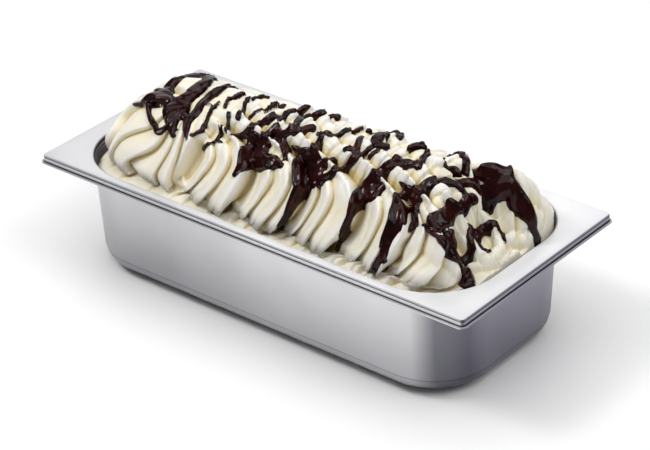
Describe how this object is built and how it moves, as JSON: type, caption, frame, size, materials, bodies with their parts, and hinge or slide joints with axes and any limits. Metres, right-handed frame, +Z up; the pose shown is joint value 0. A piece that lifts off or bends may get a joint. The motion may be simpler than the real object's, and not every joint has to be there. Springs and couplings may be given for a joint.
{
  "type": "filled gelato pan",
  "caption": "Stainless steel gelato pan heaped with piped vanilla gelato in overlapping ridged folds, with glossy chocolate sauce drizzled and pooled over it",
  "frame": {"origin": "centre of the pan's underside, on the surface it rests on", "axes": "+X along the pan, -Y the side the ridges hang down on, which the picture shows nearest, +Z up"},
  "size_m": [0.36, 0.165, 0.14],
  "materials": {
    "steel": "satin",
    "gelato": "satin"
  },
  "bodies": {
    "root": {"pan": "steel", "gelato": "gelato"}
  },
  "joints": []
}
